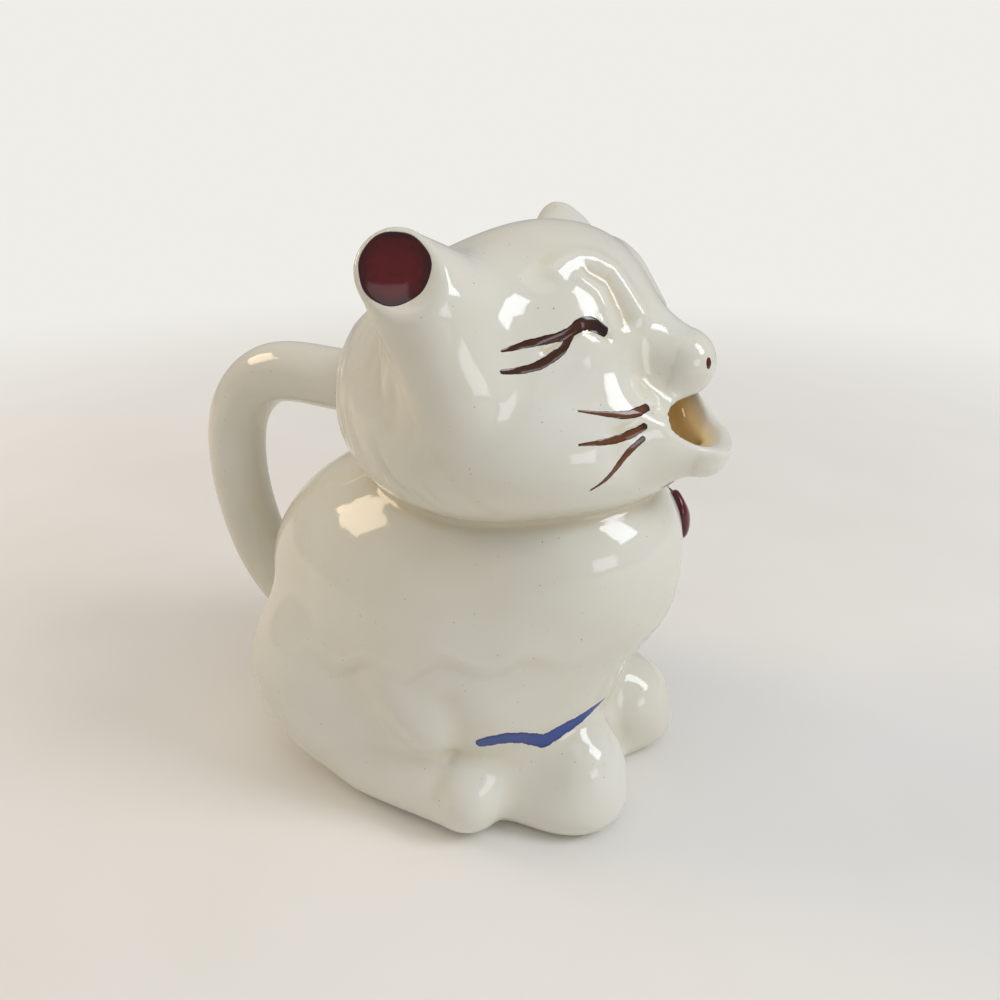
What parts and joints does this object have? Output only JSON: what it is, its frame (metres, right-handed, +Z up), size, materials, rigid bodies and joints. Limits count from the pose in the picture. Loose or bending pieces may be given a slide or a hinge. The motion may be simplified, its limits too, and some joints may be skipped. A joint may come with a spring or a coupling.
{
  "type": "cat creamer",
  "caption": "Seated cat creamer in glazed earthenware: pours from the open mouth, fills behind the ears, lifted by a round loop handle at the back.",
  "frame": {"origin": "centre of the footprint of the bounding box, on the plane of the foot", "axes": "+Z up, -Y the way the cat faces and pours, +X towards the cat's left side"},
  "size_m": [0.0784, 0.1232, 0.1197],
  "materials": {
    "ivory_glaze": "clear gloss glaze over cream earthenware",
    "maroon_enamel": "gloss fired enamel",
    "brown_enamel": "gloss fired enamel",
    "blue_enamel": "gloss fired enamel"
  },
  "bodies": {
    "root": {"torso_shell": "ivory_glaze", "head_shell": "ivory_glaze", "handle": "ivory_glaze", "neck_bow": "maroon_enamel", "ear_patch_left": "maroon_enamel", "eye_stroke_left": "brown_enamel", "whisker_upper_left": "brown_enamel", "whisker_middle_left": "brown_enamel", "whisker_lower_left": "brown_enamel", "nostril_left": "maroon_enamel", "boot_line_left": "blue_enamel", "ear_patch_right": "maroon_enamel", "eye_stroke_right": "brown_enamel", "whisker_upper_right": "brown_enamel", "whisker_middle_right": "brown_enamel", "whisker_lower_right": "brown_enamel", "nostril_right": "maroon_enamel", "boot_line_right": "blue_enamel"}
  },
  "joints": []
}
